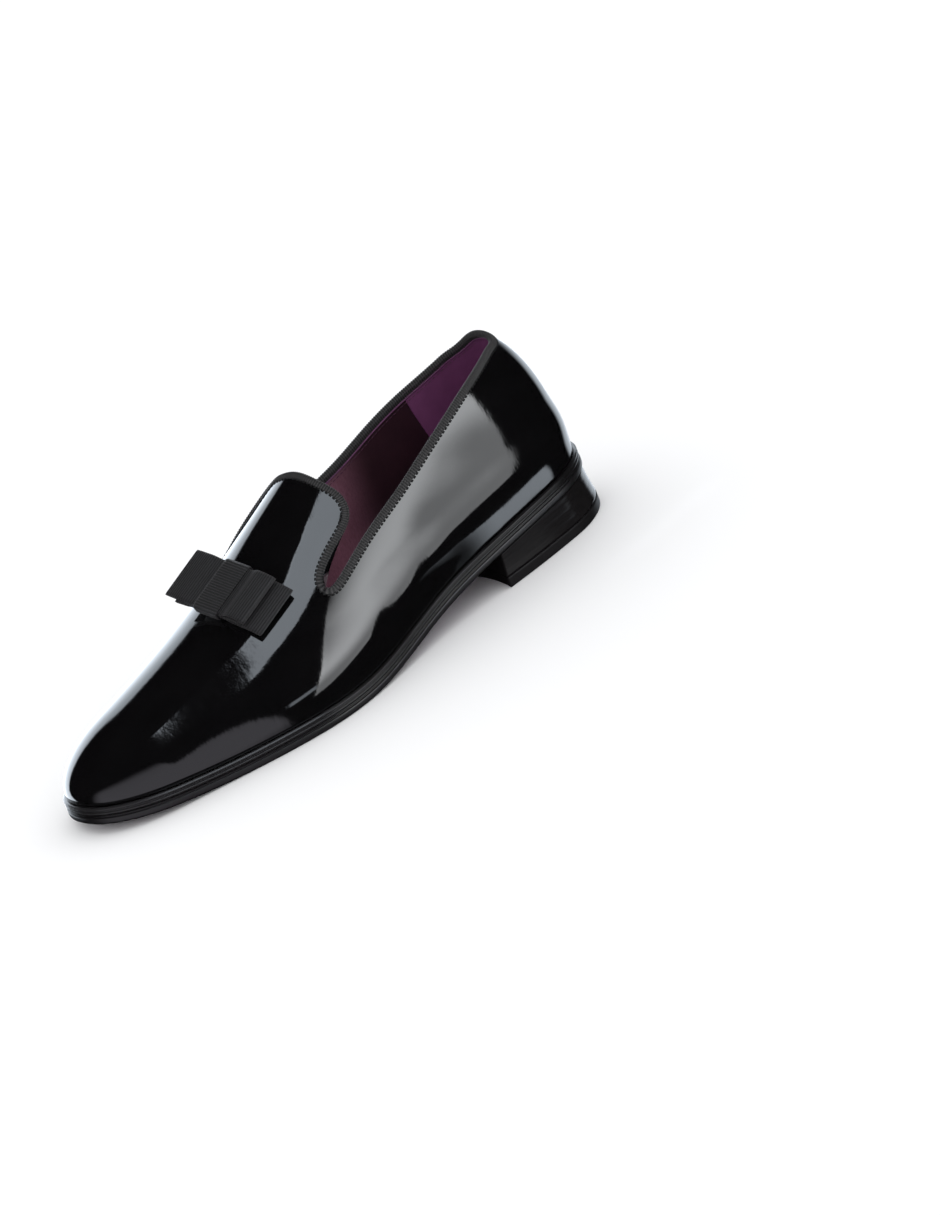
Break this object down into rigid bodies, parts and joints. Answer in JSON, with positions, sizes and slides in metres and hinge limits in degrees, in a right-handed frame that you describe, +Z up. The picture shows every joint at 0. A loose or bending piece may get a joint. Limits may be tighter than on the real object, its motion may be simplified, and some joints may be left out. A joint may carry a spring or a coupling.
{
  "type": "loafer",
  "caption": "Slip-on evening loafer for a left foot: hollow glossy upper with a rounded tongue, bound top edge and flat ribbon bow, on a low heel and close-cut leather sole.",
  "frame": {"origin": "on the floor under the middle of the shoe's bounding box", "axes": "+Z up, +Y from toe to heel, +X to the outer (lateral) side of the foot"},
  "size_m": [0.103, 0.3012, 0.0968],
  "materials": {
    "outsole": "painted smooth, black border and edge",
    "midsole": "waxed black edge",
    "heel_block": "stacked, waxed black",
    "heel_top_piece": "satin black",
    "insole": "soft purple sock lining",
    "upper": "black patent, mirror gloss",
    "topline_binding": "ribbed ribbon",
    "bow_long_loop": "ribbed ribbon",
    "bow_short_loop": "ribbed ribbon",
    "bow_band": "ribbed ribbon"
  },
  "bodies": {
    "root": {"outsole": "outsole", "midsole": "midsole", "heel_block": "heel_block", "heel_top_piece": "heel_top_piece", "insole": "insole", "upper": "upper", "topline_binding": "topline_binding", "bow_long_loop": "bow_long_loop", "bow_short_loop": "bow_short_loop", "bow_band": "bow_band"}
  },
  "joints": []
}
